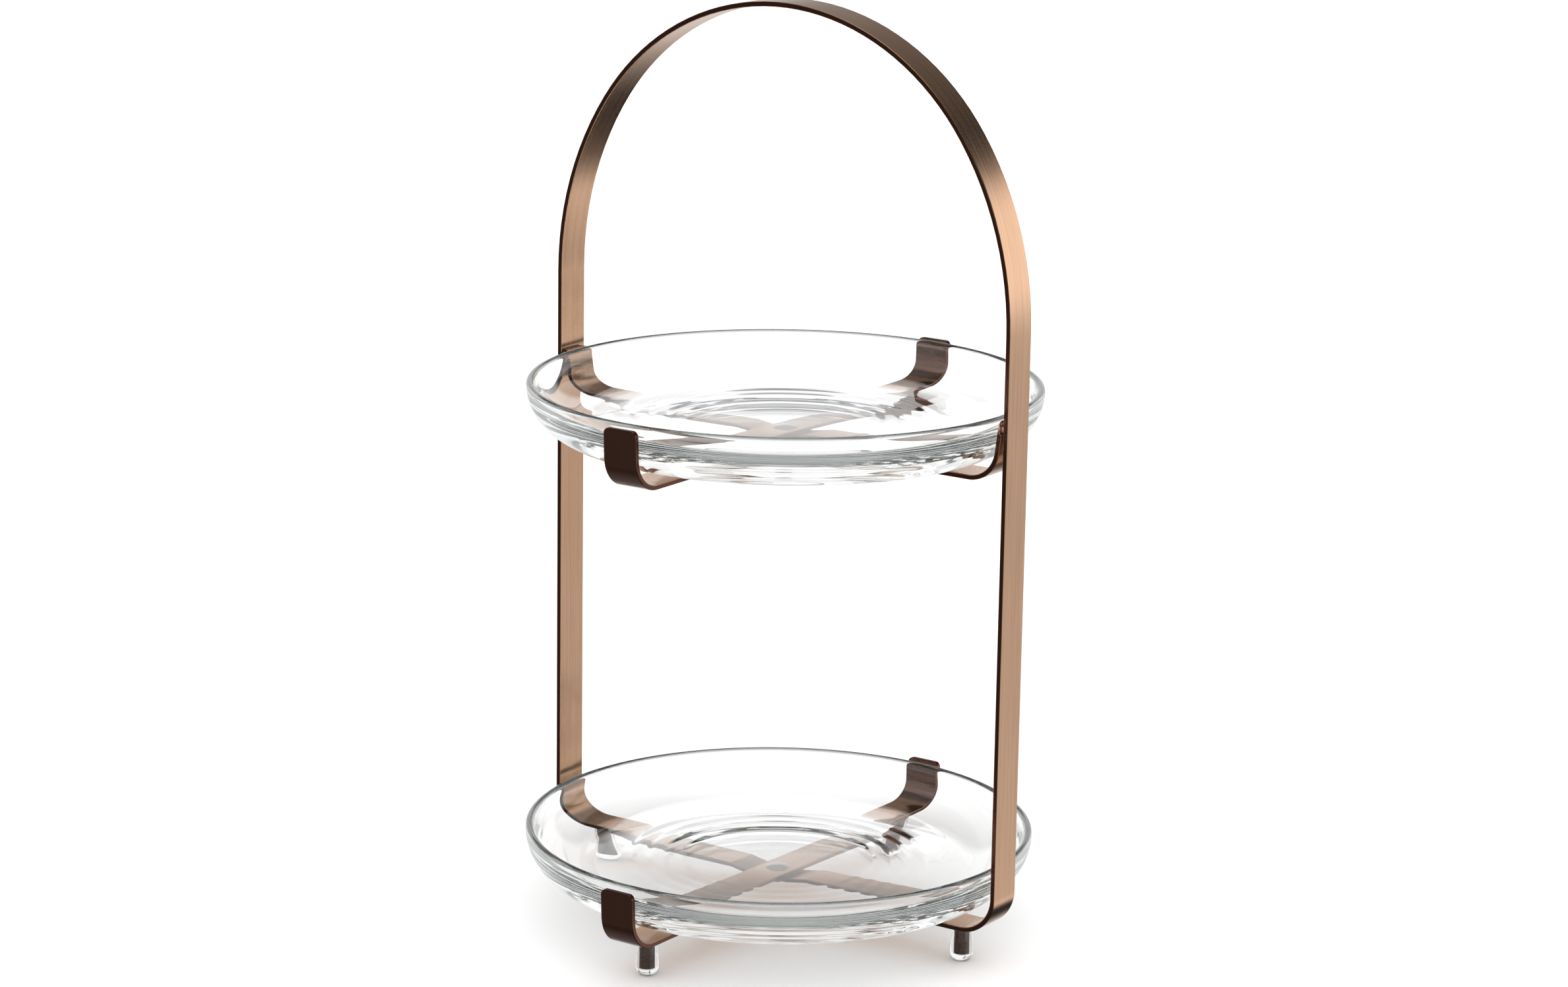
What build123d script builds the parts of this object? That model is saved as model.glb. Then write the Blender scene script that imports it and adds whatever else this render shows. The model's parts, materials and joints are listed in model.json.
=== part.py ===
"""Two-tier cake stand: one bent strip makes the handle, both legs and the bar under the
lower plate. Crossed straps with turned-up ends carry two loose pressed-glass plates.

Frame: millimetres, +Z up, origin on the table under the middle of the stand.
The handle arch stands in the XZ plane; the clips of the cross straps look along Y.
"""
import os
from math import asin, atan2, cos, degrees, radians, tan

from build123d import *

# ---- driving dimensions -------------------------------------------------------------
# metal strip, the same stock for all four pieces
strap_width = 19.0
strap_thickness = 2.5
strap_corner = 3.0            # rounding of the turned-up ends' corners

# glass plates
plate_radius = 128.0          # over the rim bead
plate_height = 29.0           # from the foot to the top of the rim
base_radius = 98.0            # outer edge of the flat ring that stands on the straps
base_ring_width = 10.0
dish_height = 2.8             # hollow under the middle, which clears the screw's head
floor_radius = 92.0
floor_height = 9.0            # from the foot up to the middle of the well's floor
rim_bead = 4.0                # thickness of the rounded rim
ring_count = 4                # pressed rings round the middle of the well's floor
ring_pitch = 9.0
ring_rise = 0.25              # each ring stands this much above the one inside it
ring_slope = 5.0              # width of each ring's slope
inner_ring = 46.0             # radius at the foot of the innermost slope
seat_gap = 0.2                # air between a plate's foot and the straps

# stand
tier_spacing = 228.0          # from the lower straps' top face to the upper straps'
leg_clearance = 4.5           # between a plate's rim and a leg
clip_clearance = 6.0          # between a plate's rim and a front or back clip
clip_drop = 0.5               # a clip's top is this much below the rim's top
clip_lean = 2.5               # degrees outwards, front and back clips
tier_lean = 7.5               # degrees outwards, the two ends that meet the legs
clip_bend = 14.5              # inside bend radius of the clips
leg_bend = 17.5               # inside bend radius at the foot of each leg
leg_above_rim = 40.5          # straight leg above the upper plate's rim
arch_rise = 144.8             # from there to the arch's inside top
weld_gap = 0.1                # between a side strap's end and the leg before welding

# where two strips cross, the lower one steps down by its own thickness
joggle_play = 1.5             # from the other strip's edge to the start of the slope
joggle_ramp = 12.0            # length of each slope
joggle_bend = 6.0             # bend radius of the slopes

# centre screw and nut of each cross
screw_radius = 2.5
screw_head_radius = 6.0
screw_head_height = 1.8
screw_head_rim = 0.6          # straight edge of the head below its dome
screw_tail = 1.0              # thread standing out of the nut
nut_flats = 8.0
nut_height = 4.0
nut_chamfer = 0.5
hole_clearance = 0.1          # between the screw and each hole

# feet: a welded stud in a clear slip-on cap
foot_height = 18.0            # from the table to the strips' underside
foot_inset = 4.0              # from the start of the leg's bend to the stud's axis
stud_radius = 2.5
stud_length = 14.3
cap_top_radius = 4.8
cap_widest_radius = 5.7
cap_widest_height = 5.2
cap_flat_radius = 2.6         # the small flat that the stand rests on
cap_gap = 0.2                 # air between a cap and the strip
bore_clearance = 0.05

# tack welds between the upper side strap and the legs
weld_radius = 1.7
weld_length = 6.4
weld_drop = 4.0               # its middle, below the strap end
weld_sink = 0.6               # its axis, in from the strip's edge

# ---- worked-out sizes ---------------------------------------------------------------
half_width = strap_width / 2
lower_seat = foot_height + strap_thickness
upper_seat = lower_seat + tier_spacing
clip_height = plate_height - clip_drop
leg_inside = plate_radius + leg_clearance
clip_inside = plate_radius + clip_clearance
spring_height = upper_seat + plate_height + leg_above_rim
foot_offset = leg_inside - leg_bend - foot_inset

# A side strap's end touches the leg with its outer top corner.
side_inside = leg_inside - weld_gap - strap_thickness * cos(radians(tier_lean))

# The arch is three arcs: a shoulder over each leg, and a tighter crown between them.
shoulder_radius = arch_rise**2 / leg_inside
crown_radius = leg_inside * (arch_rise + leg_inside) / (2 * arch_rise)
crown_start = degrees(atan2(leg_inside * (2 * arch_rise + leg_inside),
                            2 * arch_rise * (arch_rise + leg_inside)))
shoulder_centre = leg_inside - shoulder_radius
crown_centre = spring_height + arch_rise - crown_radius

os.makedirs("parts", exist_ok=True)


def save(piece, name):
    """Label a finished piece and write its STEP file."""
    piece.part.label = name
    export_step(piece.part, f"parts/{name}.step")


def joggle(seat):
    """Corners of the step that lets the other strip pass over, from left to right."""
    flat = half_width + joggle_play
    low = seat - strap_thickness
    return [(-flat - joggle_ramp, seat), (-flat, low), (flat, low), (flat + joggle_ramp, seat)]


def draw_strap(seat, inside, lean, middle=()):
    """Draw the side view of a strap whose two ends turn up round a plate.

    inside is the distance from the middle to the inner face, at an end's top.
    """
    top = seat + clip_height
    corner = inside - clip_height * tan(radians(lean))
    points = [(-inside, top), (-corner, seat), *middle, (corner, seat), (inside, top)]
    bends = [clip_bend, *[joggle_bend] * len(middle), clip_bend]
    FilletPolyline(*points, radius=bends)
    offset(amount=strap_thickness, side=Side.RIGHT)


def screw_profile(seat):
    """Half section of a centre screw whose head lies on the upper strip."""
    tail = seat - 2 * strap_thickness - nut_height - screw_tail
    edge = (screw_head_radius, seat + screw_head_rim)
    Polyline((0, seat + screw_head_height), (0, tail), (screw_radius, tail),
             (screw_radius, seat), (screw_head_radius, seat), edge)
    dome = screw_head_height - screw_head_rim
    dome_radius = (screw_head_radius**2 + dome**2) / (2 * dome)
    RadiusArc(edge, (0, seat + screw_head_height), -dome_radius)


# ---- the arch: handle, legs and the bar under the lower plate, one closed strip ------
with BuildPart() as arch_frame:
    with BuildSketch(Plane.XZ):
        with BuildLine():
            CenterArc((shoulder_centre, spring_height), shoulder_radius, 0, crown_start)
            CenterArc((0, crown_centre), crown_radius, crown_start, 180 - 2 * crown_start)
            CenterArc((-shoulder_centre, spring_height), shoulder_radius,
                      180 - crown_start, crown_start)
            FilletPolyline((-leg_inside, spring_height), (-leg_inside, lower_seat),
                           *joggle(lower_seat),
                           (leg_inside, lower_seat), (leg_inside, spring_height),
                           radius=[leg_bend, *[joggle_bend] * 4, leg_bend])
        inner = make_face()
        offset(amount=strap_thickness, kind=Kind.TANGENT)
        add(inner, mode=Mode.SUBTRACT)
    extrude(amount=half_width, both=True)
    with Locations((0, 0, lower_seat)):
        Hole(screw_radius + hole_clearance, depth=3 * strap_thickness)
save(arch_frame, "arch_frame")

# ---- cross straps, front to back, one under each plate -------------------------------
with BuildPart() as lower_cross_strap:
    with BuildSketch(Plane.YZ):
        with BuildLine():
            draw_strap(lower_seat, clip_inside, clip_lean)
        make_face()
    extrude(amount=half_width, both=True)
    ends = lower_cross_strap.faces().group_by(Axis.Z)[-1]
    fillet(ends.edges().filter_by(Axis.X, reverse=True), strap_corner)
    with Locations((0, 0, lower_seat)):
        Hole(screw_radius + hole_clearance, depth=2 * strap_thickness)
save(lower_cross_strap, "lower_cross_strap")

with BuildPart() as upper_cross_strap:
    with BuildSketch(Plane.YZ):
        with BuildLine():
            draw_strap(upper_seat, clip_inside, clip_lean)
        make_face()
    extrude(amount=half_width, both=True)
    ends = upper_cross_strap.faces().group_by(Axis.Z)[-1]
    fillet(ends.edges().filter_by(Axis.X, reverse=True), strap_corner)
    with Locations((0, 0, upper_seat)):
        Hole(screw_radius + hole_clearance, depth=2 * strap_thickness)
save(upper_cross_strap, "upper_cross_strap")

# ---- side strap of the upper tier, from leg to leg -----------------------------------
with BuildPart() as upper_side_strap:
    with BuildSketch(Plane.XZ):
        with BuildLine():
            draw_strap(upper_seat, side_inside, tier_lean, joggle(upper_seat))
        make_face()
    extrude(amount=half_width, both=True)
    ends = upper_side_strap.faces().group_by(Axis.Z)[-1]
    fillet(ends.edges().filter_by(Axis.Y, reverse=True), strap_corner)
    with Locations((0, 0, upper_seat)):
        Hole(screw_radius + hole_clearance, depth=3 * strap_thickness)
save(upper_side_strap, "upper_side_strap")

# ---- tack welds: a bead at the front and at the back of each end ---------------------
for side_name, side in (("left", -1), ("right", 1)):
    weld_axis = side * (leg_inside - weld_gap - strap_thickness / 2)
    weld_middle = upper_seat + clip_height - weld_drop
    with BuildPart() as tier_welds:
        for edge in (-1, 1):
            bead_origin = (weld_axis, edge * (half_width - weld_sink), weld_middle)
            with BuildSketch(Plane(origin=bead_origin, x_dir=(1, 0, 0), z_dir=(0, -1, 0))):
                with BuildLine():
                    EllipticalCenterArc((0, 0), weld_radius, weld_length / 2, -90, arc_size=180)
                    Line((0, -weld_length / 2), (0, weld_length / 2))
                make_face()
            revolve(axis=Axis(bead_origin, (0, 0, 1)))
        add(arch_frame.part, mode=Mode.SUBTRACT)
        add(upper_side_strap.part, mode=Mode.SUBTRACT)
    save(tier_welds, f"{side_name}_tier_welds")

# ---- centre screw and nut of each cross ----------------------------------------------
for tier, seat in (("lower", lower_seat), ("upper", upper_seat)):
    with BuildPart() as centre_screw:
        with BuildSketch(Plane.XZ):
            with BuildLine():
                screw_profile(seat)
            make_face()
        revolve(axis=Axis.Z)
    save(centre_screw, f"{tier}_centre_screw")

    with BuildPart() as centre_nut:
        with BuildSketch(Plane.XY.offset(seat - 2 * strap_thickness)):
            RegularPolygon(nut_flats / 2, 6, major_radius=False)
            Circle(screw_radius + bore_clearance, mode=Mode.SUBTRACT)
        extrude(amount=-nut_height)
        underside = centre_nut.faces().sort_by(Axis.Z)[0]
        chamfer(underside.outer_wire().edges(), nut_chamfer)
    save(centre_nut, f"{tier}_centre_nut")

# ---- feet: four studs, each in its own clear cap -------------------------------------
feet = {
    "left": (-foot_offset, 0),
    "right": (foot_offset, 0),
    "front": (0, -foot_offset),
    "back": (0, foot_offset),
}
for foot_name, (foot_x, foot_y) in feet.items():
    with BuildPart() as foot_stud:
        with BuildSketch(Plane.XY.offset(foot_height)):
            with Locations((foot_x, foot_y)):
                Circle(stud_radius)
        extrude(amount=-stud_length)
    save(foot_stud, f"{foot_name}_foot_stud")

    bore_end = foot_height - stud_length - bore_clearance
    bore_radius = stud_radius + bore_clearance
    cap_top = foot_height - cap_gap
    with BuildPart() as foot_cap:
        foot_plane = Plane(origin=(foot_x, foot_y, 0), x_dir=(1, 0, 0), z_dir=(0, -1, 0))
        with BuildSketch(foot_plane):
            with BuildLine():
                side_line = Line((cap_top_radius, cap_top), (cap_widest_radius, cap_widest_height))
                TangentArc(side_line @ 1, (cap_flat_radius, 0), tangent=side_line % 1)
                Polyline((cap_flat_radius, 0), (0, 0), (0, bore_end), (bore_radius, bore_end),
                         (bore_radius, cap_top), side_line @ 0)
            make_face()
        revolve(axis=Axis((foot_x, foot_y, 0), (0, 0, 1)))
    save(foot_cap, f"{foot_name}_foot_cap")

# ---- plates: pressed glass, a round section turned about Z ---------------------------
wall_top = plate_height - rim_bead / 2
rim_inside = plate_radius - rim_bead
edge_floor = floor_height + ring_count * ring_rise
base_inner = base_radius - base_ring_width
dish_radius = (base_inner**2 + dish_height**2) / (2 * dish_height)
dish_turn = degrees(asin(base_inner / dish_radius))
for tier, seat in (("lower", lower_seat), ("upper", upper_seat)):
    with BuildPart() as plate:
        base_plane = Plane(origin=(0, 0, seat + seat_gap), x_dir=(1, 0, 0), z_dir=(0, -1, 0))
        with BuildSketch(base_plane):
            with BuildLine():
                EllipticalCenterArc((base_radius, wall_top), plate_radius - base_radius, wall_top, -90)
                CenterArc((plate_radius - rim_bead / 2, wall_top), rim_bead / 2, 0, 180)
                EllipticalCenterArc((floor_radius, wall_top), rim_inside - floor_radius,
                                    wall_top - edge_floor, -90)
                floor = [(floor_radius, edge_floor)]
                for ring in reversed(range(ring_count)):
                    foot = inner_ring + ring * ring_pitch
                    level = floor_height + ring * ring_rise
                    floor += [(foot + ring_slope, level + ring_rise), (foot, level)]
                Polyline(*floor, (0, floor_height), (0, dish_height))
                CenterArc((0, dish_height - dish_radius), dish_radius, 90 - dish_turn, dish_turn)
                Line((base_inner, 0), (base_radius, 0))
            make_face()
        revolve(axis=Axis.Z)
    save(plate, f"{tier}_plate")
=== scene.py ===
# %% [markdown]
# # A two-tier cake stand in copper strip and pressed glass
#
# The stand is a cold-bent metal strip with crossed straps that carry two loose glass plates.
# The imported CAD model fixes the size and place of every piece. This file gives the pieces their
# finish: it re-rolls the strips with rounded edges and a brushed grain, turns the glass in fine
# steps, and sets up the light that makes metal and glass readable. Everything is in metres, Z is
# up, and the origin is on the table under the middle of the stand.

# %% Load the frame
import json
import math

import bpy
from mathutils import Matrix, Vector


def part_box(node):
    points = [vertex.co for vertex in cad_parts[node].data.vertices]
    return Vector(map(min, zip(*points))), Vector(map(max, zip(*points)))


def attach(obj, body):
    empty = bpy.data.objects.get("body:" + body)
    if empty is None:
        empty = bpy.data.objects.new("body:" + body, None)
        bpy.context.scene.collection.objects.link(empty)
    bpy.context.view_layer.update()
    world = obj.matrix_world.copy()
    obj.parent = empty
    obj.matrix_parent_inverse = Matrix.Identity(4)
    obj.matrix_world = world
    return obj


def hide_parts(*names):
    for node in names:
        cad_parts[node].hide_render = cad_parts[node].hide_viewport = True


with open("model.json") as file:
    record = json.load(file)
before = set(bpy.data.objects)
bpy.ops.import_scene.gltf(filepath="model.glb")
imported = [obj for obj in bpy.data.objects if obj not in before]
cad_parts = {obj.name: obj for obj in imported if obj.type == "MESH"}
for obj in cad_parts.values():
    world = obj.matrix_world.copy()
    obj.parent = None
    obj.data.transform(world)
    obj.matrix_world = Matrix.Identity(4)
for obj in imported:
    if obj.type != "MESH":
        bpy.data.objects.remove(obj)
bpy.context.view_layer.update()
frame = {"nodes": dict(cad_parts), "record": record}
nodes = frame["nodes"]
MM = 0.001


def in_mm(vector, digits=1):
    """A vector's parts in millimetres, rounded for printing."""
    return [round(value / MM, digits) for value in vector]


# %% [markdown]
# ## The camera
#
# The stand is seen from a little above the handle, from its front and right, by a long lens.
# A long lens keeps the two round rims from spreading, and the higher seat of the camera opens
# the lower rim more than the upper one. The camera has no shift and no depth of field, so it
# can be moved round the object later without spoiling the framing.

# %% Place the camera
camera_azimuth = math.radians(34.65)     # from the front towards the right
camera_distance = 2.068                  # level distance from the stand's axis
camera_height = 0.7246
camera_pitch = math.radians(13.71)       # how far it looks down
camera_roll = math.radians(0.92)
lens_length = 98.4

camera_data = bpy.data.cameras.new("camera")
camera_data.lens = lens_length
camera_data.sensor_width = 36
camera = bpy.data.objects.new("camera", camera_data)
camera_place = Vector((camera_distance * math.sin(camera_azimuth),
                       -camera_distance * math.cos(camera_azimuth), camera_height))
camera.matrix_world = (Matrix.Translation(camera_place)
                       @ Matrix.Rotation(camera_azimuth, 4, "Z")
                       @ Matrix.Rotation(math.pi / 2 - camera_pitch, 4, "X")
                       @ Matrix.Rotation(camera_roll, 4, "Z"))
bpy.context.scene.collection.objects.link(camera)
bpy.context.scene.camera = camera
print("camera at", [round(value, 3) for value in camera_place])

# %% [markdown]
# ## Helpers for node trees
#
# Every finish below is a small node tree. Such a tree can be drawn by hand in the Shader Editor,
# but code keeps each number beside its reason. The first helpers start a material and fill the
# sockets of a node, either with a plain value or with a link from another node.

# %% Start a material and fill sockets
def start_material(name):
    """Make an empty material and return it with its node tree and its Principled shader."""
    material = bpy.data.materials.new(name)
    material.use_nodes = True
    tree = material.node_tree
    tree.nodes.clear()
    output = tree.nodes.new("ShaderNodeOutputMaterial")
    shader = tree.nodes.new("ShaderNodeBsdfPrincipled")
    tree.links.new(shader.outputs["BSDF"], output.inputs["Surface"])
    return material, tree, shader


def feed(tree, socket, value):
    """Link a socket to another node's output, or set it to a plain value."""
    if isinstance(value, bpy.types.NodeSocket):
        tree.links.new(value, socket)
    else:
        socket.default_value = value


def fill(tree, node, **inputs):
    """Feed a node's inputs by name, with an underscore for each space in the name."""
    for name, value in inputs.items():
        feed(tree, node.inputs[name.replace("_", " ")], value)


def add_node(tree, kind, settings=None, **inputs):
    """Add a node, set its properties, and feed its inputs by name."""
    node = tree.nodes.new(kind)
    for key, value in (settings or {}).items():
        setattr(node, key, value)
    fill(tree, node, **inputs)
    return node


trial_material, trial_tree, trial_shader = start_material("trial")
print("a Principled shader has", len(trial_shader.inputs), "sockets")
bpy.data.materials.remove(trial_material)

# %% [markdown]
# ## Calculations, colours and unevenness
#
# A finish mixes a few numbers and colours, and no real surface is quite even. The next helpers
# each add one kind of node and return its result, so that a finish reads like a short recipe.

# %% Node recipes
mix_factor, mix_first, mix_second, mix_result = 0, 6, 7, 2     # a Mix node's colour sockets


def calculate(tree, operation, *values, clamp=False):
    """Add a Math node and return its result."""
    node = tree.nodes.new("ShaderNodeMath")
    node.operation = operation
    node.use_clamp = clamp
    for socket, value in zip(node.inputs, values):
        feed(tree, socket, value)
    return node.outputs[0]


def ramp(tree, factor, stops):
    """Add a colour ramp with the given (place, colour) stops and return its colour."""
    node = add_node(tree, "ShaderNodeValToRGB", Fac=factor)
    elements = node.color_ramp.elements
    while len(elements) < len(stops):
        elements.new(0.5)
    for element, (place, colour) in zip(elements, stops):
        element.position = place
        element.color = (*colour, 1)
    return node.outputs["Color"]


def blend_colours(tree, factor, first, second):
    """Mix two colours and return the result."""
    node = add_node(tree, "ShaderNodeMix", {"data_type": "RGBA"})
    feed(tree, node.inputs[mix_factor], factor)
    feed(tree, node.inputs[mix_first], first)
    feed(tree, node.inputs[mix_second], second)
    return node.outputs[mix_result]


def cloud(tree, scale, detail):
    """Soft noise that stays fixed to the piece."""
    place = tree.nodes.new("ShaderNodeTexCoord").outputs["Object"]
    noise = add_node(tree, "ShaderNodeTexNoise", Vector=place, Scale=scale, Detail=detail)
    return noise.outputs["Fac"]


def bumps(tree, height, strength, distance):
    """A normal that follows a fine height pattern."""
    bump = add_node(tree, "ShaderNodeBump", Height=height, Strength=strength, Distance=distance)
    return bump.outputs["Normal"]


print("a Mix node takes its colours at sockets", mix_first, "and", mix_second)

# %% [markdown]
# ## Helpers for meshes
#
# Each new piece is a mesh made from lists of points and faces, and it takes the place of one CAD
# node. It rides on that node's body, so it moves with the body, and that node is hidden, so the
# plain CAD mesh isn't shown. The same meshes could be modelled by hand, but a script can read
# its sizes from the frame.

# %% Make a piece and tie it to the frame
def new_piece(name, points, faces, smooth=True):
    """Make a mesh object from points and faces, and put it in the scene."""
    mesh = bpy.data.meshes.new(name)
    mesh.from_pydata(points, [], faces)
    mesh.polygons.foreach_set("use_smooth", [smooth] * len(faces))
    piece = bpy.data.objects.new(name, mesh)
    bpy.context.scene.collection.objects.link(piece)
    return piece


def write_shares(mesh, name, shares):
    """Store a share from 0 to 1 for each point, which a finish can read by its name."""
    mesh.attributes.new(name, "FLOAT", "POINT").data.foreach_set("value", shares)


def finish_piece(piece, material, body, node):
    """Give a new piece its finish, and tie it to its CAD body and node."""
    piece.data.materials.append(material)
    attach(piece, body)
    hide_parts(node)
    print(f"{piece.name}: {len(piece.data.vertices)} points")


def eased(share):
    """Turn an even share from 0 to 1 into one that starts and ends softly."""
    return share * share * (3 - 2 * share)


print("halfway eases to", eased(0.5))

# %% [markdown]
# ## Floor and light
#
# Glass and metal have almost no colour of their own: they show the room. So the room is a plain
# white set with a wide soft box overhead. The floor is a large matt disc. Lamps and cards could
# be built round the stand, but they would add noise and would show in the glass. The world
# carries the whole room as soft bands by height instead.

# %% Floor
floor_rings = (0.35, 1.0, 3.0, 14.0)
floor_corners = 96
floor_points = [(0, 0, 0)]
floor_faces = []
for ring in floor_rings:
    for corner in range(floor_corners):
        turn = math.tau * corner / floor_corners
        floor_points.append((ring * math.cos(turn), ring * math.sin(turn), 0))
for corner in range(floor_corners):
    after = (corner + 1) % floor_corners
    floor_faces.append((0, 1 + corner, 1 + after))
    for ring in range(len(floor_rings) - 1):
        inner = 1 + ring * floor_corners
        outer = inner + floor_corners
        floor_faces.append((inner + corner, outer + corner, outer + after, inner + after))
floor = new_piece("floor", floor_points, floor_faces, smooth=False)
floor.visible_glossy = False     # metal and glass mirror the bands of the room instead

floor_paint, floor_tree, floor_shader = start_material("pale_floor")
fill(floor_tree, floor_shader, Base_Color=(0.92, 0.92, 0.92, 1), Roughness=0.9,
     Specular_IOR_Level=0.1)
floor.data.materials.append(floor_paint)
print("floor radius", floor_rings[-1], "m")

# %% [markdown]
# ## The bands of the room
#
# A studio gives each surface what it needs to look at. Brushed metal wants broad light and dark
# zones, so that a bend shades from tan to brown. Polished glass wants a white room with one dark
# band above it, which draws the rings and edges as grey lines. A picture of a room could be
# wrapped round the scene, but ramps by height do the same with a few numbers, and they have no
# clutter.

# %% Directions and bands
world = bpy.data.worlds.new("studio")
bpy.context.scene.world = world
world.use_nodes = True
sky = world.node_tree
sky.nodes.clear()
direction = sky.nodes.new("ShaderNodeTexCoord").outputs["Generated"]
split = add_node(sky, "ShaderNodeSeparateXYZ", Vector=direction)


def share_of(part, gain, offset):
    """Turn one part of the direction into a share from 0 to 1."""
    return calculate(sky, "MULTIPLY_ADD", split.outputs[part], gain, offset, clamp=True)


def bands(*stops):
    """Grey light by height; each stop is (how far the direction rises, strength)."""
    return ramp(sky, height_share,
                [(rise * 0.5 + 0.5, (strength,) * 3) for rise, strength in stops])


def plain_grey(strength):
    """Even grey light from everywhere."""
    return (strength, strength, strength, 1)


most_dim = 0.82                                 # how far the front of the room is dimmed
height_share = share_of("Z", 0.5, 0.5)          # 0 straight down, 1 straight up
to_left = share_of("X", -2.5, 0.1)              # 0 on the right, 1 well to the left
to_front = share_of("Y", -2.5, -0.25)           # 0 at the sides and behind, 1 well to the front
front_dim = calculate(sky, "MULTIPLY", to_front, most_dim)
print("the world splits directions into", [output.name for output in split.outputs])

# %% The room that each material sees
right_bands = bands(
    (-0.52, 0.02), (-0.45, 1.30), (-0.34, 1.05), (-0.22, 0.80),     # up from the table
    (-0.06, 1.80), (0.26, 1.85), (0.32, 1.10),                      # the bright wall
    (0.36, 0.00), (0.48, 0.00), (0.55, 0.16), (0.86, 0.24),         # dark above the wall
    (0.92, 1.40))                                                   # the soft box
left_bands = bands(
    (-0.68, 0.30), (-0.58, 1.00), (-0.46, 1.00), (0.00, 1.00),
    (0.20, 0.45), (0.45, 0.30), (0.86, 0.26), (0.92, 1.40))
metal_room = blend_colours(sky, to_left, right_bands, left_bands)
metal_room = blend_colours(sky, front_dim, metal_room, plain_grey(0.03))

glass_bands = bands(
    (-0.30, 0.80), (0.00, 1.10), (0.325, 1.10), (0.37, 0.00),
    (0.66, 0.00), (0.74, 0.35), (0.86, 0.35), (0.92, 2.00))
glass_room = blend_colours(sky, front_dim, glass_bands, plain_grey(0.15))
through_bands = bands((0.00, 1.05), (0.38, 1.00), (0.48, 0.15), (0.88, 0.15), (0.93, 1.20))
print("ramps in the world:", sum(node.type == "VALTORGB" for node in sky.nodes))

# %% [markdown]
# ## Which light sees which room
#
# One room can't serve both metal and glass. The Light Path node says what kind of ray asks: a
# soft reflection is metal, a mirror-sharp one is glass, and a third kind has passed through the
# glass. Rays that the floor has scattered get plain even light, which leaves only a soft shadow
# under the stand, and the backdrop itself is plain white.

# %% World light
ray = sky.nodes.new("ShaderNodeLightPath").outputs
after_floor = calculate(sky, "GREATER_THAN", ray["Diffuse Depth"], 0.5)
mirrored = blend_colours(sky, ray["Is Singular Ray"], metal_room, glass_room)
seen = blend_colours(sky, ray["Is Glossy Ray"], plain_grey(1.0), mirrored)
seen = blend_colours(sky, ray["Is Transmission Ray"], seen, through_bands)
seen = blend_colours(sky, after_floor, seen, plain_grey(1.5))
background = add_node(sky, "ShaderNodeBackground", Color=seen, Strength=1.0)
add_node(sky, "ShaderNodeOutputWorld", Surface=background.outputs[0])

glass_bounces = 32      # light crosses and re-crosses a plate's walls many times
scene = bpy.context.scene
scene.view_settings.view_transform = "Standard"
scene.cycles.max_bounces = glass_bounces
scene.cycles.transmission_bounces = glass_bounces
scene.cycles.glossy_bounces = glass_bounces
print("world ready, with", glass_bounces, "bounces")

# %% [markdown]
# ## The copper finish
#
# The strips are steel with an antique copper plating. After plating, the broad faces are
# brushed along their length, which leaves long fine scratches and a light tan, while the
# sheared edges are painted a dark brown: partly the brown of the bath, partly painted shade.
# The upright clips are painted the same brown as painted shade, for the dark reflection they
# show from the front. A clear lacquer lies over everything. The scratches run along the strip,
# so the pattern is read from a UV map that is laid out in metres across and along each strip,
# and the shader's anisotropy follows the same map.

# %% Brushed copper
# dark brown for the sheared edges (patina and painted shade) and the clips (painted shade)
patina_and_shade_brown = (0.105, 0.042, 0.027, 1)


def brushed_copper():
    """Antique copper plating, brushed along the strip's length."""
    material, tree, shader = start_material("brushed_copper")
    uv = add_node(tree, "ShaderNodeUVMap", {"uv_map": "strip"}).outputs["UV"]

    def streaks(across, along, detail):
        mapping = add_node(tree, "ShaderNodeMapping", Vector=uv, Scale=(across, along, 1))
        noise = add_node(tree, "ShaderNodeTexNoise", Vector=mapping.outputs["Vector"],
                         Scale=1.0, Detail=detail, Roughness=0.6)
        return noise.outputs["Fac"]

    fine = streaks(5200, 40, 3)
    middle = streaks(900, 9, 3)
    broad = streaks(120, 6, 2)
    patchy = add_node(tree, "ShaderNodeTexNoise", Vector=uv, Scale=22, Detail=3).outputs["Fac"]
    tone = 0.0
    for layer, share in ((fine, 0.3), (middle, 0.4), (broad, 0.2), (patchy, 0.1)):
        tone = calculate(tree, "MULTIPLY_ADD", layer, share, tone)
    copper = ramp(tree, tone, [
        (0.27, (0.37, 0.212, 0.130)),
        (0.50, (0.50, 0.305, 0.190)),
        (0.73, (0.61, 0.392, 0.255)),
    ])

    # where the strip is painted dark brown: patina and painted shade on the edges, painted shade
    # on the clips
    edge = add_node(tree, "ShaderNodeAttribute", {"attribute_name": "patina_and_shade"}).outputs["Fac"]
    tangent = add_node(tree, "ShaderNodeTangent", {"direction_type": "UV_MAP", "uv_map": "strip"})
    fill(tree, shader, Metallic=1.0, Anisotropic=0.55, Coat_Weight=0.07, Coat_Roughness=0.16,
         Base_Color=blend_colours(tree, edge, copper, patina_and_shade_brown),
         Roughness=calculate(tree, "MULTIPLY_ADD", middle, 0.12, 0.15),
         Tangent=tangent.outputs["Tangent"], Normal=bumps(tree, fine, 0.25, 0.04 * MM))
    return material


copper_finish = brushed_copper()
print("made", copper_finish.name)

# %% [markdown]
# ## Rolling the strips
#
# Each strip is one flat bar bent on edge-free dies, so its line is straight runs joined by
# arcs. A curve with a bevel object would do, but it rounds nothing at the cut ends and gives no
# control of the edge. So the bar is rolled in mesh code instead: one function lays out the
# line, one gives the bar's rounded section, and one places a section at each step of the line.

# %% Strip sizes
strip_width = 19 * MM
strip_thickness = 2.5 * MM
strip_edge = 0.38 * MM          # rounding of the long edges
end_corner = 3 * MM             # rounding of the clips' corners
bend_step = math.radians(3)     # turn between two sections in a bend
run_step = 12 * MM              # longest step along a straight run
half_width = strip_width / 2
print("strip", strip_width / MM, "x", strip_thickness / MM, "mm")


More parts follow.
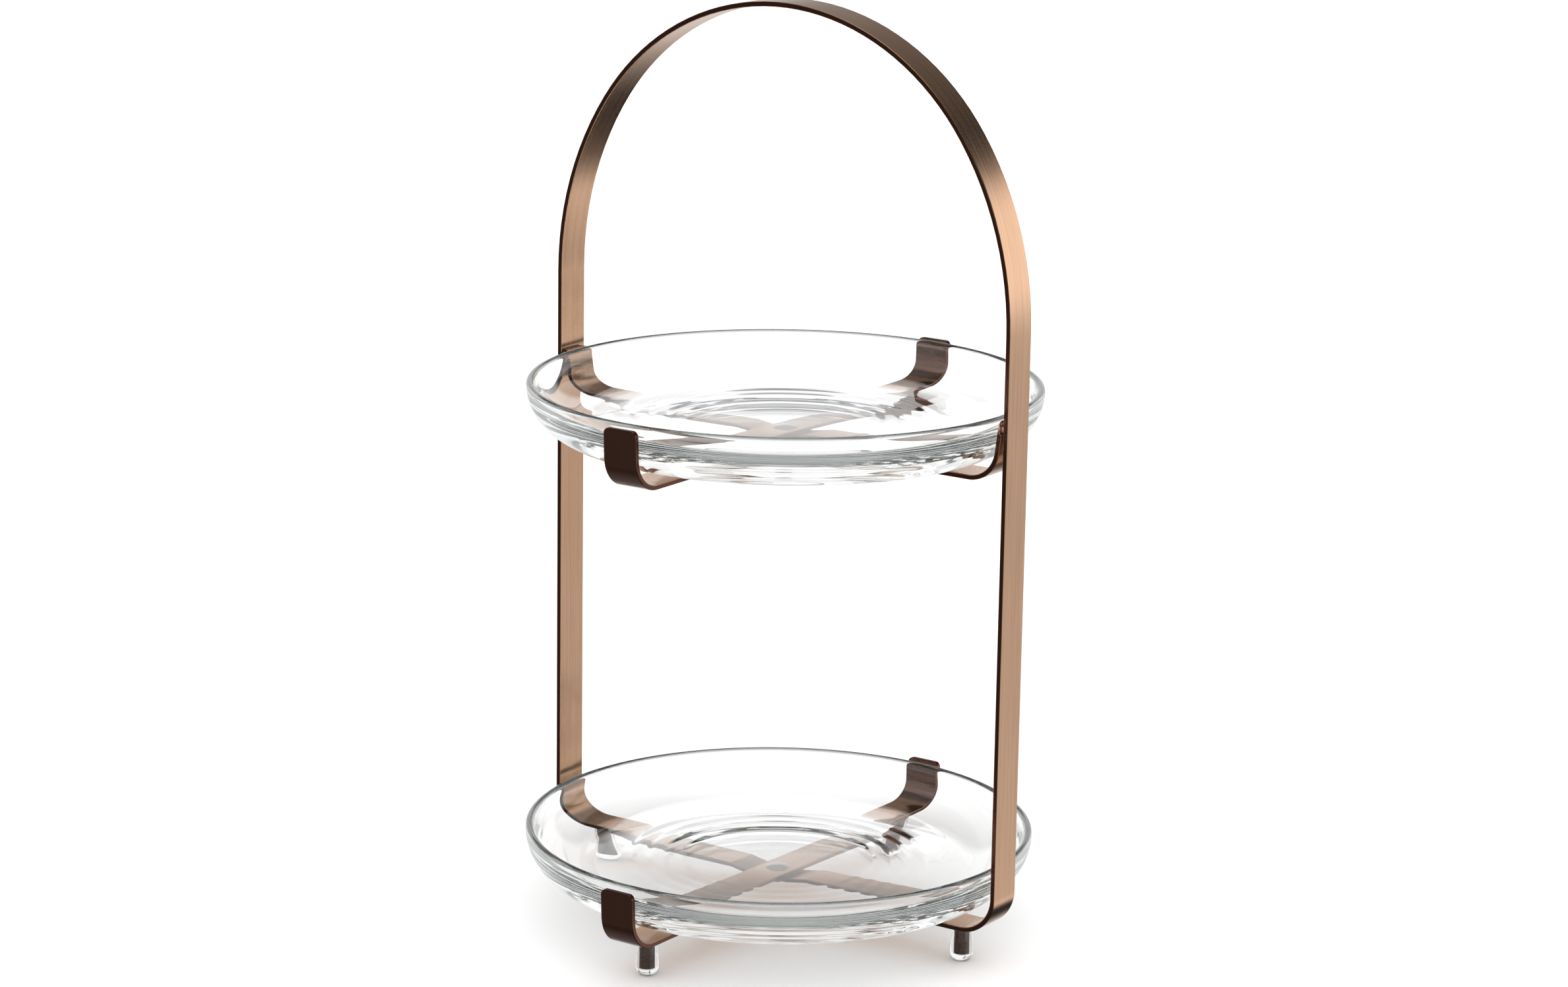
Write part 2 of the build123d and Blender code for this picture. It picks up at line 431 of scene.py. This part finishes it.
# %% Arcs
def turned_by(vector, angle):
    """Turn a flat vector to the left by an angle."""
    return Vector((vector.x * math.cos(angle) - vector.y * math.sin(angle),
                   vector.x * math.sin(angle) + vector.y * math.cos(angle)))


def right_of(vector):
    """The unit vector on the right hand of a flat direction."""
    return Vector((vector.y, -vector.x)).normalized()


def arc_steps(start, heading, radius, angle):
    """Points and right-hand normals along an arc; a positive angle turns left."""
    side = 1 if angle > 0 else -1
    centre = start - right_of(heading) * radius * side
    count = max(2, math.ceil(abs(angle) / bend_step))
    steps = []
    for step in range(count + 1):
        outward = right_of(turned_by(heading, angle * step / count))
        steps.append((centre + outward * radius * side, outward))
    return steps


quarter_bend = arc_steps(Vector((0, 0)), Vector((1, 0)), 1, math.pi / 2)
print("a quarter bend has", len(quarter_bend), "points")

# %% Lines with bends
same_way = 1e-6                 # normals closer than this belong to one straight run


def bent_line(corners, radii):
    """Straight runs joined by tangent arcs, as points with right-hand normals."""
    corners = [Vector(corner) for corner in corners]
    line = [(corners[0], right_of(corners[1] - corners[0]))]
    for before, corner, after, radius in zip(corners, corners[1:], corners[2:], radii):
        heading, leaving = (corner - before).normalized(), (after - corner).normalized()
        angle = math.atan2(heading.x * leaving.y - heading.y * leaving.x, heading.dot(leaving))
        start = corner - heading * radius * math.tan(abs(angle) / 2)
        line += arc_steps(start, heading, radius, angle)
    line.append((corners[-1], right_of(corners[-1] - corners[-2])))
    return line


def with_even_runs(line):
    """Divide long straight runs, so that no step is longer than run_step."""
    divided = [line[0]]
    for (start, _), (end, normal) in zip(line, line[1:]):
        count = max(1, math.ceil((end - start).length / run_step))
        if count > 1 and (divided[-1][1] - normal).length < same_way:
            for step in range(1, count):
                divided.append((start.lerp(end, step / count), normal))
        divided.append((end, normal))
    return divided


print("straight runs have a section at least every", run_step / MM, "mm")

# %% [markdown]
# ## The bar's section
#
# Slit steel strip has a flat face and two sheared edges whose corners are only just broken. The
# clips' corners are rounded over the last three millimetres, where the section gets narrower,
# and their cut ends are broken too, where it gets a little thinner. A Bevel modifier would round
# all edges alike, so the outline is computed from the distance to the cut end.

# %% Rounded section
corner_turns = 5                # points in each rounded corner
least_edge = 0.03 * MM          # rounding that is left right at a cut end


def cut_end(radius, from_end):
    """How much a rounded corner of this radius takes off at a distance from the cut end."""
    reach = max(radius - from_end, 0.0)
    return radius - math.sqrt(radius ** 2 - reach ** 2)


def bar_section(from_end):
    """The bar's rounded outline as (across, deep) points, at a distance from its cut end."""
    inset = cut_end(strip_edge, from_end)
    wide = half_width - cut_end(end_corner, from_end) - inset
    deep = strip_thickness / 2 - inset
    edge = max(strip_edge - inset, least_edge)
    outline = []
    for quarter, (side, face) in enumerate(((1, 1), (-1, 1), (-1, -1), (1, -1))):
        for step in range(corner_turns):
            turn = math.pi / 2 * (quarter + step / (corner_turns - 1))
            outline.append(((wide - edge) * side + edge * math.cos(turn),
                            (deep - edge) * face + edge * math.sin(turn)))
    return outline


section_count = len(bar_section(end_corner))
print("points round the bar:", section_count)

# %% Where the sections stand
end_steps = [strip_edge * share for share in (0, 0.08, 0.3, 0.6, 1)]
end_steps += [end_corner * share for share in (0.25, 0.45, 0.7, 1)]
end_zone = end_corner * 1.1     # plain sections stay this far from a cut end


def stations_along(line, closed):
    """Where the sections stand, and the strip's length.

    A station is (place, outward normal, distance travelled, distance from a cut end).
    """
    line = with_even_runs(line)
    travelled, stations = 0.0, []
    for step, (place, outward) in enumerate(line):
        travelled += (place - line[step - 1][0]).length if step else 0.0
        stations.append((place, outward, travelled, end_corner))
    if closed:
        return stations, travelled + (line[0][0] - line[-1][0]).length
    inner = [station for station in stations if end_zone < station[2] < travelled - end_zone]
    ends = []
    for (place, outward), (neighbour, _) in ((line[0], line[1]), (line[-1], line[-2])):
        inwards = (neighbour - place).normalized()
        ends.append([(place + inwards * back, outward, back, back) for back in end_steps])
    tail = [(place, outward, travelled - back, back) for place, outward, _, back in ends[1]]
    return ends[0] + inner + tail[::-1], travelled


print("sections at each cut end:", len(end_steps))


# %% Skin and grain
def bar_faces(station_count, closed):
    """Faces between neighbouring sections, and one on each cut end."""
    faces = []
    spans = station_count if closed else station_count - 1
    for span in range(spans):
        here, there = span * section_count, (span + 1) % station_count * section_count
        for point in range(section_count):
            after = (point + 1) % section_count
            faces.append((here + point, there + point, there + after, here + after))
    if not closed:
        last = spans * section_count
        faces.append(tuple(range(section_count)))
        faces.append(tuple(last + point for point in reversed(range(section_count))))
    return faces


def lay_out_grain(mesh, marks, total):
    """Write a UV map in metres across and along the strip, from each point's (across, along)."""
    layer = mesh.uv_layers.new(name="strip")
    for polygon in mesh.polygons:
        alongs = [marks[vertex][1] for vertex in polygon.vertices]
        wraps = max(alongs) - min(alongs) > total / 2     # the face that closes a loop of strip
        for loop in polygon.loop_indices:
            offset, along = marks[mesh.loops[loop].vertex_index]
            layer.data[loop].uv = (offset, along + total * (wraps and along < total / 2))


print("faces of a bar with two sections:", len(bar_faces(2, closed=False)))

# %% Rolling a bar along its line
edge_depth = strip_thickness / 2 - strip_edge * 0.8     # points less deep are on a sheared edge
cut_face = strip_edge * 0.5                             # points nearer the end are on its cut
broad_face_weight = 90                                  # large faces rule the shading


def roll_strip(name, line, length_way, patina_and_shade, closed=False):
    """Place the bar's section along a line in the plane of Z and length_way.

    The line is the face that holds the plate. The last argument, a function of a place, says how
    dark the broad face is painted: painted shade on the clips.
    """
    across = Vector((0, 0, 1)).cross(length_way)
    stations, total = stations_along(line, closed)
    points, marks, dark = [], [], []
    for place, outward, along, from_end in stations:
        middle = place + outward * strip_thickness / 2
        for offset, depth in bar_section(from_end):
            flat = middle + outward * depth
            points.append(length_way * flat.x + Vector((0, 0, flat.y)) + across * offset)
            marks.append((offset, along))
            # sheared edges and cut ends are painted full dark brown: partly the bath's patina,
            # partly painted shade
            sheared = abs(depth) < edge_depth or from_end < cut_face
            dark.append(1.0 if sheared else patina_and_shade(points[-1]))
    strip = new_piece(name, points, bar_faces(len(stations), closed))
    lay_out_grain(strip.data, marks, total)
    write_shares(strip.data, "patina_and_shade", dark)
    strip.modifiers.new("even_shading", "WEIGHTED_NORMAL").weight = broad_face_weight
    print(f"{name}: {total / MM:.0f} mm of strip in {len(stations)} sections")
    return strip


# %% [markdown]
# ## The stand's four strips
#
# The sizes below are the stand's own: the two seats are the heights of the straps' top faces,
# and the arch is three arcs, a flatter shoulder over each leg and a tighter crown between them.
# The arch's CAD box gives the legs' places and the crown's height, and each new strip is printed
# against its CAD node's box. The CAD meshes could be kept, but they have no grain to follow and
# no rounding at the clips' cut ends.

# %% Stand sizes
lower_seat = 20.5 * MM
upper_seat = 248.5 * MM
clip_height = 28.5 * MM
clip_bend = 14.5 * MM
leg_bend = 17.5 * MM
clip_lean = math.radians(2.5)
tier_lean = math.radians(7.5)
joggle_play = 1.5 * MM          # flat beyond the other strip's edges
joggle_ramp = 12 * MM
joggle_bend = 6 * MM
weld_play = 0.1 * MM            # from the side strap's ends to the legs

arch_low, arch_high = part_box("arch_frame")
leg_inside = arch_high.x - strip_thickness
spring_height = 318 * MM
arch_rise = arch_high.z - strip_thickness - spring_height
clip_inside = 134 * MM
side_inside = leg_inside - weld_play - strip_thickness * math.cos(tier_lean)
print("legs", round(2 * leg_inside / MM, 1), "mm apart, arch rise", round(arch_rise / MM, 1))


# %% Joggles and cradles
def joggle(seat):
    """Corners where a strip steps down to let the other one pass over it."""
    flat, low = half_width + joggle_play, seat - strip_thickness
    return [(-flat - joggle_ramp, seat), (-flat, low), (flat, low), (flat + joggle_ramp, seat)]


def cradle_line(seat, inside, lean, middle=()):
    """A strap whose two ends turn up round a plate."""
    top, corner = seat + clip_height, inside - clip_height * math.tan(lean)
    corners = [(-inside, top), (-corner, seat), *middle, (corner, seat), (inside, top)]
    return bent_line(corners, [clip_bend, *[joggle_bend] * len(middle), clip_bend])


print("a joggle is", round(2 * (half_width + joggle_play + joggle_ramp) / MM, 1), "mm long")


# %% The arch
def arch_line():
    """The closed line of the handle, the legs and the bar under the lower plate."""
    line = bent_line([(-leg_inside, spring_height), (-leg_inside, lower_seat),
                      *joggle(lower_seat),
                      (leg_inside, lower_seat), (leg_inside, spring_height)],
                     [leg_bend, *[joggle_bend] * 4, leg_bend])
    shoulder = arch_rise ** 2 / leg_inside
    crown = leg_inside * (arch_rise + leg_inside) / (2 * arch_rise)
    turn = math.atan2(leg_inside * (2 * arch_rise + leg_inside),
                      2 * arch_rise * (arch_rise + leg_inside))
    place, heading = Vector((leg_inside, spring_height)), Vector((0, 1))
    for radius, angle in ((shoulder, turn), (crown, math.pi - 2 * turn), (shoulder, turn)):
        arc = arc_steps(place, heading, radius, angle)
        line += arc[1:]
        place, heading = arc[-1][0], turned_by(heading, angle)
    return line[:-1]


print("arch line has", len(arch_line()), "points")

# %% Where the patina and the painted shade go
# how dark the painted shade on the clips gets, and where it fades in
clip_darkness = 0.9
brown_from = clip_inside - 16 * MM      # the brown fades in through the bend
brown_to = clip_inside - 4 * MM


def plain_patina(point):
    """The legs, the handle and the crossed bars are brushed all over."""
    return 0.0


def clip_painted_shade(point):
    """The upright clips are painted dark brown as painted shade."""
    share = (abs(point.y) - brown_from) / (brown_to - brown_from)
    return eased(min(max(share, 0.0), 1.0)) * clip_darkness


print("the clips are brown from", round(brown_from / MM, 1), "mm outwards")

# %% Roll the four strips
way_x, way_y = Vector((1, 0, 0)), Vector((0, 1, 0))
strips = {
    "arch_frame": roll_strip("arch_strip", arch_line(), way_x, plain_patina, closed=True),
    "lower_cross_strap": roll_strip("lower_cross_strip", cradle_line(
        lower_seat, clip_inside, clip_lean), way_y, clip_painted_shade),
    "upper_cross_strap": roll_strip("upper_cross_strip", cradle_line(
        upper_seat, clip_inside, clip_lean), way_y, clip_painted_shade),
    "upper_side_strap": roll_strip("upper_side_strip", cradle_line(
        upper_seat, side_inside, tier_lean, joggle(upper_seat)), way_x, plain_patina),
}
for node, strip in strips.items():
    finish_piece(strip, copper_finish, "stand", node)
    low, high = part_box(node)
    corners = [Vector(corner) for corner in strip.bound_box]
    print("   off the CAD box by", in_mm(corners[0] - low, 2), in_mm(corners[6] - high, 2))

# %% [markdown]
# ## Small metal parts
#
# The centre screws and nuts, the foot studs and the tack welds are already the right shape, so
# their CAD meshes stay. They only need their own finishes: plain steel for the screws, a satin
# dark bronze with a slightly uneven coat for the nuts and studs, and a bright smooth copper for
# the welds, which were melted and then plated, and so never brushed.

# %% Fastener and weld finishes
def coated_metal(name, scale, darker, lighter, metallic, smoothest, swing):
    """A plain metal whose coat varies a little in colour and gloss.

    Its roughness lies between smoothest and smoothest + swing.
    """
    material, tree, shader = start_material(name)
    coat = cloud(tree, scale, 3.0)
    fill(tree, shader, Metallic=metallic,
         Base_Color=ramp(tree, coat, [(0.3, darker), (0.7, lighter)]),
         Roughness=calculate(tree, "MULTIPLY_ADD", coat, swing, smoothest))
    return material


def weld_copper():
    """A melted bead under the same plating: smooth, brighter and redder than the strip."""
    material, tree, shader = start_material("weld_copper")
    melt = cloud(tree, 700.0, 4.0)
    fill(tree, shader, Metallic=1.0, Roughness=0.22,
         Base_Color=ramp(tree, melt, [(0.35, (0.36, 0.15, 0.10)), (0.65, (0.62, 0.34, 0.25))]),
         Normal=bumps(tree, melt, 0.4, 0.3 * MM))
    return material


dark_bronze = coated_metal("dark_bronze", 900.0, (0.035, 0.021, 0.017), (0.085, 0.052, 0.041),
                           metallic=0.85, smoothest=0.22, swing=0.25)
satin_steel = coated_metal("satin_steel", 1100.0, (0.50, 0.51, 0.48), (0.66, 0.67, 0.64),
                           metallic=1.0, smoothest=0.24, swing=0.12)
print("made", dark_bronze.name, "and", satin_steel.name)

# %% Finish the CAD meshes that stay
slot_finishes = {"dark_fastener": dark_bronze, "steel_screw": satin_steel,
                 "copper_weld": weld_copper()}
for part in frame["record"]["subparts"]:
    if part["material_slot"] in slot_finishes:
        node = nodes[part["node"]]
        node.data.materials.clear()
        node.data.materials.append(slot_finishes[part["material_slot"]])
        print(part["node"], "has", node.data.materials[0].name)

# %% [markdown]
# ## Turned pieces
#
# The plates and the foot caps are round, so each one is a half outline turned about its own
# axis. A Screw modifier would do the same, but building the rings in code keeps single points
# on the axis, so that the glass is one clean closed skin, which refraction needs.

# %% Turning an outline
on_axis = 1e-7                  # a smaller radius is a single point on the axis


def turned(name, outline, count, centre=(0, 0), shares=()):
    """Turn an outline of (radius, height) points about a vertical axis, from axis to axis.

    shares gives each outline point its share of the rim line.
    """
    points, faces, starts = [], [], []
    for radius, up in outline:
        starts.append(len(points))
        for step in range(1 if radius < on_axis else count):
            turn = math.tau * step / count
            points.append((centre[0] + radius * math.cos(turn),
                           centre[1] + radius * math.sin(turn), up))
    starts.append(len(points))
    for ring in range(len(outline) - 1):
        here, there = starts[ring], starts[ring + 1]
        single_here, single_there = there - here == 1, starts[ring + 2] - there == 1
        for step in range(count):
            after = (step + 1) % count
            if single_here:
                faces.append((here, there + after, there + step))
            elif single_there:
                faces.append((here + step, here + after, there))
            else:
                faces.append((here + step, here + after, there + after, there + step))
    piece = new_piece(name, points, faces)
    if shares:
        counts = [there - here for here, there in zip(starts, starts[1:])]
        write_shares(piece.data, "rim_line",
                     [share for share, many in zip(shares, counts) for _ in range(many)])
    return piece


print("a radius under", on_axis, "m counts as the axis")


# %% Parts of an outline
def ellipse_points(centre, radii, start, end, count):
    """Points on an ellipse from one angle to another, in degrees."""
    points = []
    for step in range(count + 1):
        turn = math.radians(start + (end - start) * step / count)
        points.append((centre[0] + radii[0] * math.cos(turn),
                       centre[1] + radii[1] * math.sin(turn)))
    return points


def eased_step(start, end, count=8):
    """A soft S-shaped slope between two points of an outline."""
    points = []
    for step in range(count + 1):
        share = step / count
        points.append((start[0] + (end[0] - start[0]) * share,
                       start[1] + (end[1] - start[1]) * eased(share)))
    return points


print("a ring step has", len(eased_step((0, 0), (1, 1))), "points")

# %% [markdown]
# ## Pressed glass
#
# Each plate is pressed soda glass. Clear glass needs only refraction and a trace of absorption,
# and a little waviness from the mould. The crest of the rim is painted grey as painted shade,
# because the eye reads a polished rim as a thin dark line. Refraction alone draws that line too
# faintly in a white room.

# %% Glass finish
# painted shade along the crest of the rim
painted_rim_shade = (0.07, 0.08, 0.08, 1)


def clear_glass():
    """Pressed soda glass: clear, polished, a trace of green in its depth."""
    material, tree, shader = start_material("pressed_glass")
    rim = add_node(tree, "ShaderNodeAttribute", {"attribute_name": "rim_line"}).outputs["Fac"]
    wave = cloud(tree, 38.0, 1.0)
    fill(tree, shader, Transmission_Weight=1.0, IOR=1.52, Roughness=0.0,
         Base_Color=blend_colours(tree, rim, (1, 1, 1, 1), painted_rim_shade),
         Normal=bumps(tree, wave, 0.05, 0.4 * MM))
    depth = add_node(tree, "ShaderNodeVolumeAbsorption",
                     Color=(0.80, 0.86, 0.82, 1), Density=2.0)
    output = next(node for node in tree.nodes if node.type == "OUTPUT_MATERIAL")
    fill(tree, output, Volume=depth.outputs["Volume"])
    return material


glass_finish = clear_glass()
print("made", glass_finish.name)

# %% [markdown]
# ## The plate's outline
#
# A plate has a thick rolled rim, a wall that thickens towards the base, a flat ring that stands
# on the straps, and a shallow dish underneath that clears the screw. The floor of the well falls
# to the middle in four very low rings. They could be a bump in the finish, but the mesh would
# then stay flat, and the rings are part of the plate's shape.

# %% Plate sizes
rim_bead = 4 * MM               # thickness of the rolled rim
base_outer = 98 * MM            # the ring that stands on the straps
base_inner = 88 * MM
dish_height = 2.8 * MM          # hollow under the middle, which clears the screw's head
well_radius = 92 * MM
well_floor = 9 * MM             # above the base ring
ring_count = 4                  # pressed rings round the floor of the well
ring_pitch = 9 * MM
ring_rise = 0.25 * MM           # each ring stands this much above the one inside it
ring_slope = 5 * MM
inner_ring = 46 * MM
plate_turns = 224               # points round a plate
wall_steps = 40                 # steps along the wall's curve, inside and outside
bead_steps = 16                 # steps over the rim
dish_steps = 16                 # steps from the axis to the base ring
edge_floor = well_floor + ring_count * ring_rise
print("the well's floor is", round(edge_floor / MM, 2), "mm thick at its edge")


# %% Plate outline
def plate_outline(base, radius, height):
    """The plate's half section, from under its middle out round the rim and back inside."""
    wall_top = height - rim_bead / 2
    wall = ellipse_points((base_outer, wall_top), (radius - base_outer, wall_top),
                          -90, 0, wall_steps)
    rim = ellipse_points((radius - rim_bead / 2, wall_top), (rim_bead / 2,) * 2,
                         0, 180, bead_steps)
    inside = ellipse_points((well_radius, wall_top),
                            (radius - rim_bead - well_radius, wall_top - edge_floor),
                            0, -90, wall_steps)
    dish_radius = (base_inner ** 2 + dish_height ** 2) / (2 * dish_height)
    outline = []
    for step in range(dish_steps + 1):
        across = base_inner * step / dish_steps
        drop = dish_radius - math.sqrt(dish_radius ** 2 - across ** 2)
        outline.append((across, dish_height - drop))
    outline += wall + rim[1:-1] + inside
    for ring in reversed(range(ring_count)):
        foot, up = inner_ring + ring * ring_pitch, well_floor + ring * ring_rise
        outline += eased_step((foot + ring_slope, up + ring_rise), (foot, up))
    outline.append((0.0, well_floor))
    return [(across, base + up) for across, up in outline]


print("a plate's outline has", len(plate_outline(0.0, 128 * MM, 29 * MM)), "points")

# %% Turn the two plates
bead_reach = rim_bead * 0.55    # points farther from the bead's centre aren't on the bead
line_spread = 80                # degrees from the crest to where the dark line ends
line_fade = 40                  # degrees over which it fades


def rim_line(across, above, radius):
    """How strongly a point lies on the crest of the rim bead, where the glass looks dark and gets
    painted shade.
    """
    centre = radius - rim_bead / 2
    if math.hypot(across - centre, above) > bead_reach:
        return 0.0
    turn = math.degrees(math.atan2(above, across - centre))
    return min(1.0, max(0.0, (line_spread - abs(turn - 90)) / line_fade))


for tier in ("lower", "upper"):
    low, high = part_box(f"{tier}_plate")
    outline = plate_outline(low.z, high.x, high.z - low.z)
    bead_centre = high.z - rim_bead / 2
    shares = [rim_line(across, up - bead_centre, high.x) for across, up in outline]
    plate = turned(f"{tier}_glass_plate", outline, plate_turns, shares=shares)
    finish_piece(plate, glass_finish, f"{tier}_plate", f"{tier}_plate")

# %% [markdown]
# ## Foot caps
#
# A clear soft cap is pushed over each stud. Because the soft plastic grips the stud all round,
# there is no air between them, and the cap acts as a lens that makes the dark stud look wider
# than it is. So the bore is drawn a hair smaller than the stud instead of larger.

# %% Cap finish
def clear_vinyl():
    """Clear soft plastic, with the faint waviness of a moulded cap."""
    material, tree, shader = start_material("clear_vinyl")
    wave = cloud(tree, 260.0, 2.0)
    fill(tree, shader, Base_Color=(0.97, 0.98, 0.98, 1), Transmission_Weight=1.0, IOR=1.49,
         Roughness=calculate(tree, "MULTIPLY_ADD", wave, 0.06, 0.01),
         Normal=bumps(tree, wave, 0.3, 0.2 * MM))
    return material


cap_finish = clear_vinyl()
print("made", cap_finish.name)

# %% Turn the four caps
bore_grip = 0.03 * MM           # how far the bore is inside the stud's surface
mouth_edge = 0.3 * MM           # rounding of the cap's mouth
cap_neck = 4.8 * MM             # radius at the mouth
cap_belly = 5.2 * MM            # height where the cap is widest
cap_flat = 2.6 * MM             # radius of the flat that touches the table
cap_turns = 64                  # points round a cap
dome_steps = 20
mouth_steps = 6
mouth_from = 10                 # degrees above level where the mouth's rounding starts
for foot in ("left", "right", "front", "back"):
    low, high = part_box(f"{foot}_foot_cap")
    stud_low, stud_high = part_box(f"{foot}_foot_stud")
    centre = (low + high) / 2
    bore, bore_end = (stud_high.x - stud_low.x) / 2 - bore_grip, stud_low.z + bore_grip
    widest, top = (high.x - low.x) / 2, high.z
    dome = ellipse_points((cap_flat, cap_belly), (widest - cap_flat, cap_belly),
                          -90, 0, dome_steps)
    mouth = ellipse_points((cap_neck - mouth_edge, top - mouth_edge), (mouth_edge,) * 2,
                           mouth_from, 90, mouth_steps)
    outline = [(0.0, 0.0), *dome, *mouth, (bore, top), (bore, bore_end), (0.0, bore_end)]
    cap = turned(f"{foot}_clear_cap", outline, cap_turns, centre=(centre.x, centre.y))
    finish_piece(cap, cap_finish, "stand", f"{foot}_foot_cap")
